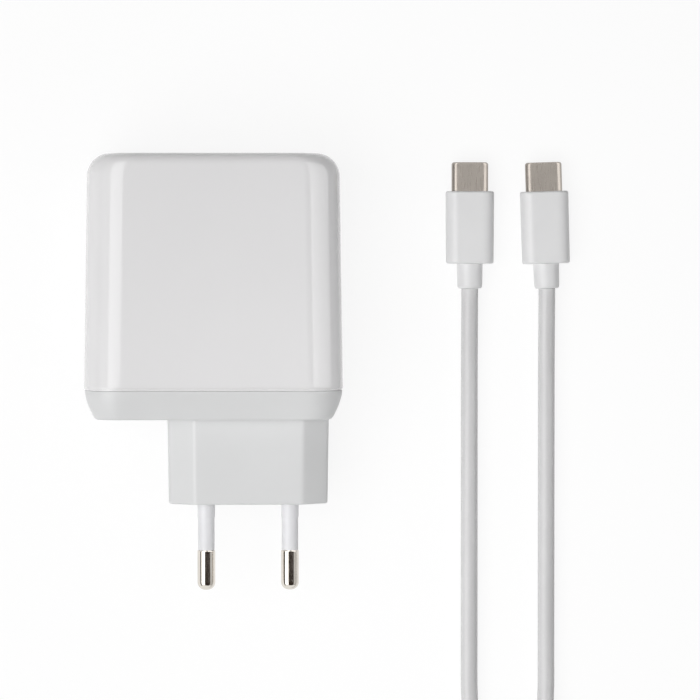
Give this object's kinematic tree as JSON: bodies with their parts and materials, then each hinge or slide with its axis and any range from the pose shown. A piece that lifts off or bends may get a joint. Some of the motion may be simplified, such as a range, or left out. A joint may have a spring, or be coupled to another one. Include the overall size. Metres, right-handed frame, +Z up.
{
  "type": "laptop power adapter",
  "caption": "Wall-plug power adapter with two round mains pins, lying on its back beside its loose cable with a flat oval plug on each end.",
  "frame": {"origin": "centre of the underside of the adapter's box, on the surface it lies on, without the cable", "axes": "+Y from the mains pins to the port end, +Z up through the thickness, +X across the width"},
  "size_m": [0.1288, 0.2053, 0.028],
  "materials": {
    "shell_gloss": "glossy moulded white",
    "cap_satin": "satin moulded white",
    "pin_nickel": "bright nickel plate",
    "pin_sleeve": "smooth white insulation",
    "strip_brass": "plain rolled",
    "film": "thin polyester film",
    "spreader": "plain sheet",
    "thermal_pad": "soft silicone",
    "board_green": "solder mask",
    "chip_black": "moulded epoxy",
    "ferrite": "ground ferrite",
    "bobbin_black": "moulded phenolic",
    "winding_tape": "polyester tape",
    "can_sleeve": "shrink sleeve",
    "choke_green": "coated ring",
    "copper": "enamelled wire",
    "film_cap": "moulded box",
    "rectifier": "moulded epoxy",
    "fuse_tan": "ceramic body",
    "disc_blue": "dipped epoxy",
    "can_aluminium": "drawn can",
    "port_steel": "stamped and plated",
    "gold_contact": "gold flash",
    "tongue_black": "moulded",
    "plug_steel": "drawn shell, satin plate",
    "plug_insert": "moulded",
    "overmould": "soft-touch moulded white",
    "cord_white": "satin thermoplastic jacket",
    "tie_grey": "hook-and-loop strap"
  },
  "bodies": {
    "adapter": {"upper_shell": "shell_gloss", "base_cap": "cap_satin", "pin_left": "pin_nickel", "pin_right": "pin_nickel", "pin_sleeve_left": "pin_sleeve", "pin_sleeve_right": "pin_sleeve", "pin_strip_left": "strip_brass", "pin_strip_right": "strip_brass", "insulating_films": "film", "heat_spreader_back": "spreader", "heat_spreader_front": "spreader", "thermal_pad_back": "thermal_pad", "thermal_pad_front": "thermal_pad", "main_board": "board_green", "power_switch": "chip_black", "sync_rectifier": "chip_black", "controller_chip": "chip_black", "transformer_core": "ferrite", "transformer_bobbin": "bobbin_black", "transformer_winding": "winding_tape", "bulk_capacitors": "can_sleeve", "common_mode_choke": "choke_green", "choke_windings": "copper", "interference_capacitor": "film_cap", "bridge_rectifier": "rectifier", "input_fuse": "fuse_tan", "safety_capacitor": "disc_blue", "output_capacitors": "can_aluminium", "port_board": "board_green", "port_chip": "chip_black", "receptacle_shell": "port_steel", "receptacle_tongue": "tongue_black", "receptacle_contacts": "gold_contact"},
    "cable": {"cable_lead_a": "cord_white", "cable_lead_b": "cord_white", "cable_coil": "cord_white", "cable_tie": "tie_grey", "plug_a_shell": "plug_steel", "plug_a_insert": "plug_insert", "plug_a_contacts": "gold_contact", "plug_a_board": "board_green", "plug_a_overmould": "overmould", "plug_a_boot": "overmould", "plug_b_shell": "plug_steel", "plug_b_insert": "plug_insert", "plug_b_contacts": "gold_contact", "plug_b_board": "board_green", "plug_b_overmould": "overmould", "plug_b_boot": "overmould"}
  },
  "joints": [
    {"name": "cable_lift", "type": "slide", "parent": "adapter", "child": "cable", "axis": [0, 0, 1], "range_m": [0, 0.05]}
  ]
}
